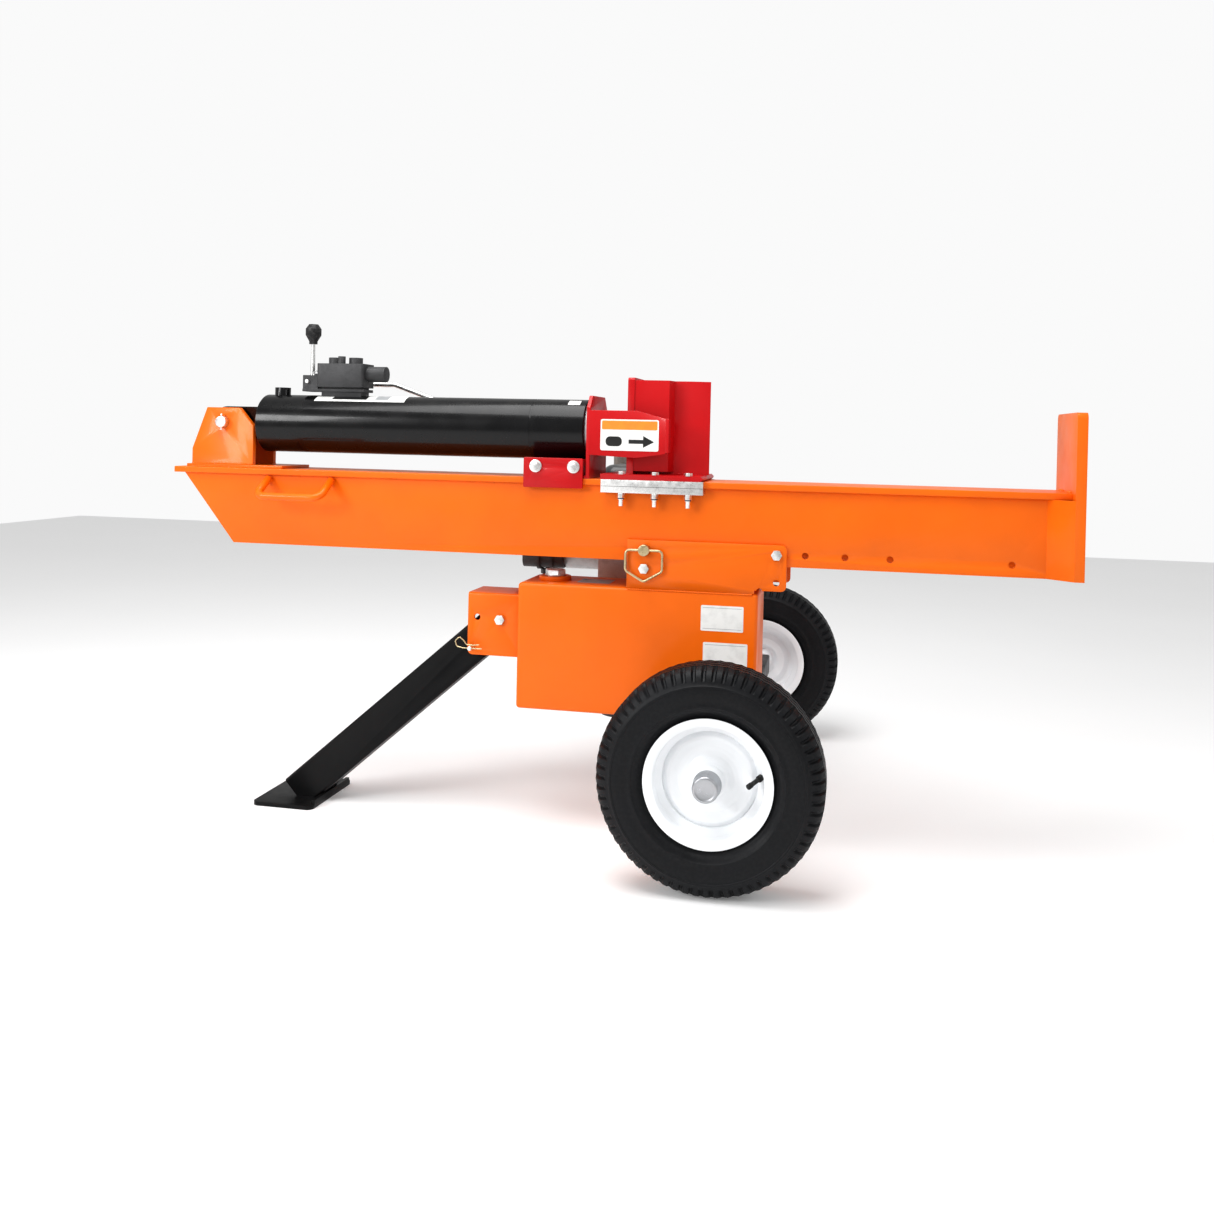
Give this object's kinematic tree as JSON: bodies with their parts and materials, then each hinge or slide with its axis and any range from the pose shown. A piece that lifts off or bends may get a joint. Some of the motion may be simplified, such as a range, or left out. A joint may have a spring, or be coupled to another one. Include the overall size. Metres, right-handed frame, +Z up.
{
  "type": "log splitter",
  "caption": "Towable hydraulic log splitter: tilting channel beam with sliding wedge and cylinder on a steel tank frame, pneumatic wheels and a fold-up stand.",
  "frame": {"origin": "on the ground, under the middle of the machine's bounding box", "axes": "+X along the beam towards the foot plate, -Y towards the working side, +Z up"},
  "size_m": [1.901, 1.26, 1.0485],
  "materials": {
    "orange_paint": "gloss powder coat",
    "red_paint": "gloss enamel",
    "black_paint": "satin powder coat",
    "black_gloss_paint": "gloss enamel",
    "dark_engine_paint": "satin enamel",
    "black_fitting": "satin",
    "white_rim": "gloss enamel",
    "white_plate": "printed film",
    "zinc_steel": "bright zinc",
    "yellow_zinc": "yellow zinc",
    "chromed_rod": "hard chrome",
    "chromed_cap": "pressed and plated",
    "cast_alloy": "as cast",
    "dark_cast_iron": "painted casting",
    "muffler_steel": "heat dulled",
    "black_plastic": "moulded",
    "tyre": "moulded rubber",
    "valve_rubber": "moulded"
  },
  "bodies": {
    "chassis": {"tank": "orange_paint", "filler_neck": "orange_paint", "cradle_plates": "orange_paint", "tongue_bracket": "orange_paint", "axle": "black_paint", "engine_platform": "orange_paint", "tank_fittings": "black_fitting", "frame_bolts": "zinc_steel", "info_plates": "white_plate", "wheel_bearings": "zinc_steel", "engine_block": "cast_alloy", "cylinder_head": "cast_alloy", "fan_housing": "dark_engine_paint", "muffler": "muffler_steel", "fuel_tank": "dark_engine_paint", "air_cleaner": "black_plastic", "pump_housing": "cast_alloy", "pump_body": "dark_cast_iron"},
    "beam": {"beam_channel": "orange_paint", "beam_top_plate": "orange_paint", "foot_plate": "orange_paint", "cylinder_ears": "orange_paint", "base_pin": "zinc_steel", "cylinder_barrel": "black_gloss_paint", "cylinder_gland": "cast_alloy", "stripper": "red_paint", "saddle_clamps": "red_paint", "clamp_bolts": "zinc_steel", "lift_handle": "orange_paint", "valve_body": "dark_cast_iron", "steel_pipe": "zinc_steel"},
    "wedge_slide": {"wedge": "red_paint", "gib_bars": "zinc_steel", "gib_bolts": "zinc_steel", "cylinder_rod": "chromed_rod", "piston": "cast_alloy"},
    "lever": {"valve_lever": "zinc_steel"},
    "spool": {"valve_spool": "chromed_rod"},
    "near_wheel": {"near_tyre": "tyre", "near_rim": "white_rim", "near_hub_cap": "chromed_cap", "near_valve": "valve_rubber"},
    "far_wheel": {"far_tyre": "tyre", "far_rim": "white_rim", "far_hub_cap": "chromed_cap", "far_valve": "valve_rubber"},
    "stand_leg": {"stand": "black_paint"},
    "stand_lock": {"stand_pin": "zinc_steel"},
    "stand_clip": {"hairpin": "yellow_zinc"},
    "beam_latch": {"latch_pin": "yellow_zinc"},
    "bail": {"latch_bail": "yellow_zinc"},
    "crank_train": {"crankshaft": "zinc_steel", "flywheel": "cast_alloy", "shaft_coupling": "cast_alloy"},
    "oil_cap": {"filler_cap": "zinc_steel"},
    "petrol_cap": {"fuel_cap": "black_plastic"},
    "starter_grip": {"recoil_handle": "black_plastic"},
    "throttle": {"throttle_lever": "zinc_steel"},
    "choke": {"choke_lever": "black_plastic"},
    "stop_switch": {"engine_switch": "black_plastic"}
  },
  "joints": [
    {"name": "beam_tilt", "type": "hinge", "parent": "chassis", "child": "beam", "pos_m": [0.3788, -0.242, 0.5865], "axis": [0, 1, 0], "range_deg": [0, 90]},
    {"name": "wedge_travel", "type": "slide", "parent": "beam", "child": "wedge_slide", "axis": [1, 0, 0], "range_m": [0, 0.61]},
    {"name": "lever_throw", "type": "hinge", "parent": "beam", "child": "lever", "pos_m": [-0.664, -0.242, 0.9205], "axis": [0, 1, 0], "range_deg": [-15, 15], "stiffness_Nm_per_rad": 6},
    {"name": "spool_shift", "type": "slide", "parent": "beam", "child": "spool", "axis": [1, 0, 0], "range_m": [-0.0048, 0.0048]},
    {"name": "near_wheel_spin", "type": "hinge", "parent": "chassis", "child": "near_wheel", "pos_m": [0.2855, -0.55, 0.206], "axis": [0, 1, 0], "continuous": true},
    {"name": "far_wheel_spin", "type": "hinge", "parent": "chassis", "child": "far_wheel", "pos_m": [0.2855, 0.55, 0.206], "axis": [0, 1, 0], "continuous": true},
    {"name": "stand_fold", "type": "hinge", "parent": "chassis", "child": "stand_leg", "pos_m": [-0.199, -0.242, 0.423], "axis": [0, 1, 0], "range_deg": [0, 41.5]},
    {"name": "stand_lock_pull", "type": "slide", "parent": "chassis", "child": "stand_lock", "axis": [0, 1, 0], "range_m": [0, 0.012]},
    {"name": "hairpin_pull", "type": "slide", "parent": "stand_lock", "child": "stand_clip", "axis": [-1, 0, 0], "range_m": [0, 0.05]},
    {"name": "beam_latch_pull", "type": "slide", "parent": "chassis", "child": "beam_latch", "axis": [0, -1, 0], "range_m": [0, 0.17]},
    {"name": "bail_swing", "type": "hinge", "parent": "beam_latch", "child": "bail", "pos_m": [0.1115, -0.3246, 0.5855], "axis": [-1, 0, 0], "range_deg": [0, 90]},
    {"name": "crank_spin", "type": "hinge", "parent": "chassis", "child": "crank_train", "pos_m": [0.04, 0.02, 0.546], "axis": [1, 0, 0], "continuous": true},
    {"name": "oil_cap_turn", "type": "hinge", "parent": "chassis", "child": "oil_cap", "pos_m": [-0.0945, -0.242, 0.52], "axis": [0, 0, 1], "continuous": true},
    {"name": "petrol_cap_turn", "type": "hinge", "parent": "chassis", "child": "petrol_cap", "pos_m": [0.07, -0.022, 0.76], "axis": [0, 0, 1], "continuous": true},
    {"name": "starter_pull", "type": "slide", "parent": "chassis", "child": "starter_grip", "axis": [1, 0, 0], "range_m": [0, 0.6], "stiffness_N_per_m": 30},
    {"name": "throttle_swing", "type": "hinge", "parent": "chassis", "child": "throttle", "pos_m": [-0.043, -0.012, 0.608], "axis": [1, 0, 0], "range_deg": [-20, 25]},
    {"name": "choke_swing", "type": "hinge", "parent": "chassis", "child": "choke", "pos_m": [-0.096, 0.004, 0.63], "axis": [0, 1, 0], "range_deg": [0, 50]},
    {"name": "stop_switch_turn", "type": "hinge", "parent": "chassis", "child": "stop_switch", "pos_m": [0.18, -0.066, 0.576], "axis": [1, 0, 0], "range_deg": [0, 60]}
  ],
  "couplings": [
    {"joint": "spool_shift", "follows": "lever_throw", "m_per_rad": 0.018}
  ]
}
